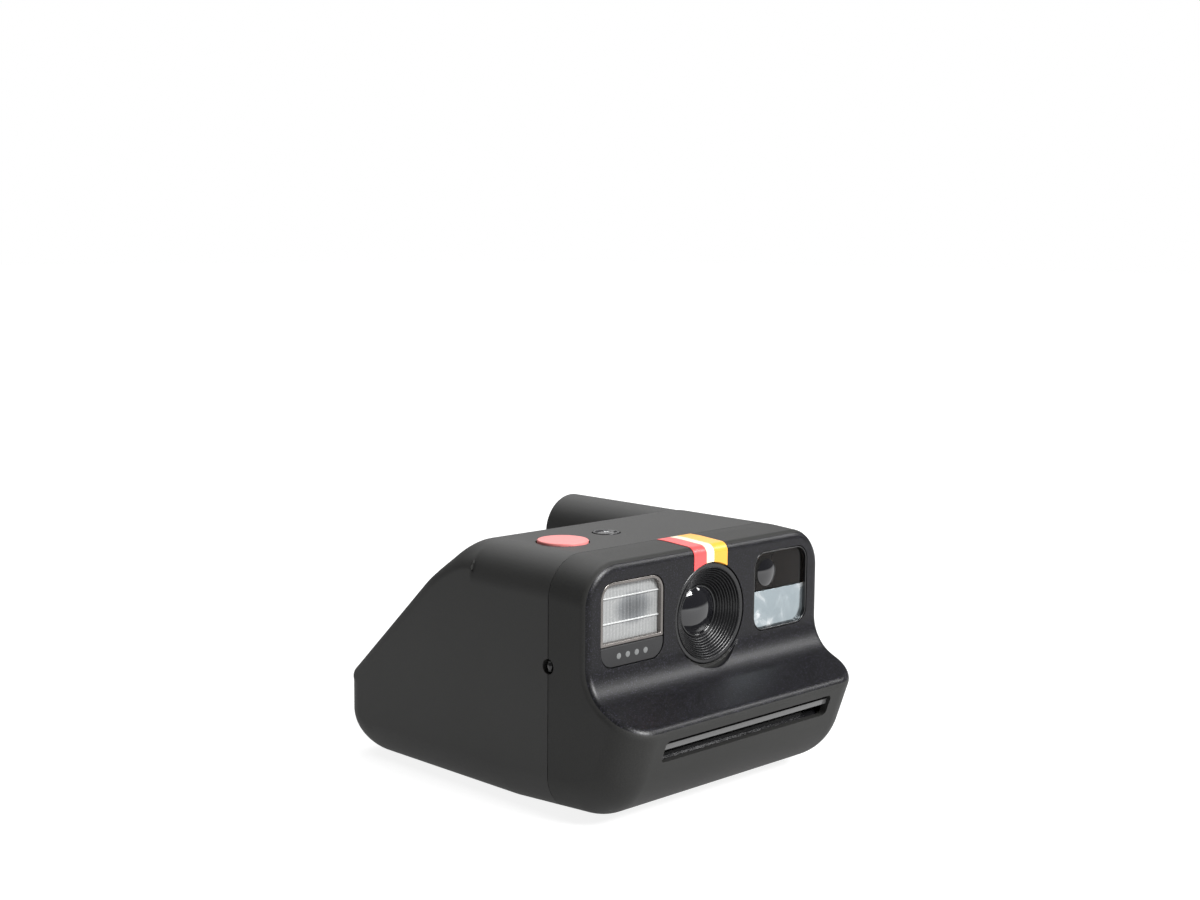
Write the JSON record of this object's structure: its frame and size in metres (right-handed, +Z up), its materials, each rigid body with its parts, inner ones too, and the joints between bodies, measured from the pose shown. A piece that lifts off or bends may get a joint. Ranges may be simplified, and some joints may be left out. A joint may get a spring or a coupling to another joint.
{
  "type": "instant camera",
  "caption": "Compact box-shaped instant camera with swept front lip, ribbed lens, built-in flash, sloping back, viewfinder barrel and a film door underneath.",
  "frame": {"origin": "middle of the box's footprint, on the surface the camera stands on", "axes": "+X to the right seen from the front, +Y to the back, +Z up; the lens looks along -Y"},
  "size_m": [0.0838, 0.105, 0.0622],
  "materials": {
    "shell_black": "fine moulded grain",
    "trim_black": "satin",
    "gloss_black": "polished",
    "button_coral": "satin gloss",
    "stripe": "printed bands, satin",
    "bezel_grey": "satin",
    "lens_glass": "coated, polished",
    "clear_glass": "polished",
    "finder_glass": "smoked, polished",
    "finder_mirror": "pale mirror finish",
    "mirror": "front-surface mirror",
    "reflector": "bright metallised",
    "steel": "ground",
    "brass": "machined",
    "nylon": "natural nylon",
    "board_green": "solder mask",
    "chips": "matt resin",
    "cell_blue": "shrink film",
    "inner_black": "light-absorbing matt"
  },
  "bodies": {
    "camera_body": {"front_shell": "shell_black", "rear_shell": "shell_black", "accent_stripe": "stripe", "strap_lugs": "trim_black", "case_screws": "steel", "door_hinge_pin": "steel", "button_board": "board_green", "button_switches": "steel", "rear_board": "board_green", "power_switch": "steel", "counter_display": "chips", "counter_window": "gloss_black", "lens_baffle": "trim_black", "front_lens": "lens_glass", "lens_barrel": "inner_black", "shutter_plate": "steel", "rear_lens": "clear_glass", "flash_lens": "clear_glass", "flash_reflector": "reflector", "flash_tube": "clear_glass", "flash_bezel": "bezel_grey", "light_sensor": "chips", "flash_capacitor": "gloss_black", "viewfinder_window": "finder_glass", "viewfinder_mirror": "finder_mirror", "viewfinder_tunnel": "inner_black", "eyepiece_lens": "clear_glass", "eyepiece_ring": "trim_black", "mirror_box": "inner_black", "reflex_mirror": "mirror", "film_gate": "inner_black", "exit_guide_bar": "bezel_grey", "light_seal": "gloss_black", "roller_frame": "steel", "drive_motor": "steel", "battery": "cell_blue", "main_board": "board_green", "board_components": "chips", "usb_port": "steel"},
    "film_door": {"film_door": "shell_black", "pressure_springs": "steel"},
    "door_latch": {"door_latch": "trim_black"},
    "shutter_button": {"shutter_button": "button_coral"},
    "flash_button": {"flash_button": "trim_black"},
    "power_button": {"power_button": "trim_black"},
    "shutter_blade": {"shutter_blade": "inner_black"},
    "upper_roller": {"upper_roller": "steel", "upper_roller_gear": "nylon"},
    "lower_roller": {"lower_roller": "steel", "lower_roller_gear": "nylon"},
    "drive_gear": {"drive_gear": "nylon"},
    "motor_pinion": {"motor_pinion": "brass"},
    "pick_arm": {"pick_arm": "steel"}
  },
  "joints": [
    {"name": "film_door_hinge", "type": "hinge", "parent": "camera_body", "child": "film_door", "pos_m": [0, 0.043, 0.0016], "axis": [1, 0, 0], "range_deg": [0, 88]},
    {"name": "door_latch_slide", "type": "slide", "parent": "camera_body", "child": "door_latch", "axis": [0, 1, 0], "range_m": [0, 0.004], "stiffness_N_per_m": 250, "springref_m": -0.002},
    {"name": "shutter_button_press", "type": "slide", "parent": "camera_body", "child": "shutter_button", "axis": [0, 0, -1], "range_m": [0, 0.0006], "stiffness_N_per_m": 1500, "springref_m": -0.0003},
    {"name": "flash_button_press", "type": "slide", "parent": "camera_body", "child": "flash_button", "axis": [0, 0, -1], "range_m": [0, 0.0006], "stiffness_N_per_m": 1500, "springref_m": -0.0003},
    {"name": "power_button_press", "type": "slide", "parent": "camera_body", "child": "power_button", "axis": [0, -0.6782, -0.7349], "range_m": [0, 0.0006], "stiffness_N_per_m": 1500, "springref_m": -0.0003},
    {"name": "shutter_blade_swing", "type": "hinge", "parent": "camera_body", "child": "shutter_blade", "pos_m": [-0.0065, -0.0242, 0.0444], "axis": [0, 1, 0], "range_deg": [0, 54], "stiffness_Nm_per_rad": 0.0004, "springref_deg": -11.46},
    {"name": "upper_roller_spin", "type": "hinge", "parent": "camera_body", "child": "upper_roller", "pos_m": [0, -0.039, 0.0211], "axis": [1, 0, 0], "continuous": true},
    {"name": "lower_roller_spin", "type": "hinge", "parent": "camera_body", "child": "lower_roller", "pos_m": [0, -0.039, 0.0133], "axis": [1, 0, 0], "continuous": true},
    {"name": "drive_gear_spin", "type": "hinge", "parent": "camera_body", "child": "drive_gear", "pos_m": [0.034, -0.0277, 0.02413], "axis": [1, 0, 0], "continuous": true},
    {"name": "motor_pinion_spin", "type": "hinge", "parent": "camera_body", "child": "motor_pinion", "pos_m": [0.034, -0.0225, 0.03313], "axis": [1, 0, 0], "continuous": true},
    {"name": "pick_arm_slide", "type": "slide", "parent": "camera_body", "child": "pick_arm", "axis": [0, -1, 0], "range_m": [0, 0.006], "stiffness_N_per_m": 100, "springref_m": -0.002}
  ],
  "couplings": [
    {"joint": "lower_roller_spin", "follows": "upper_roller_spin", "ratio": -1},
    {"joint": "drive_gear_spin", "follows": "upper_roller_spin", "ratio": -0.5},
    {"joint": "motor_pinion_spin", "follows": "upper_roller_spin", "ratio": 1.5}
  ]
}
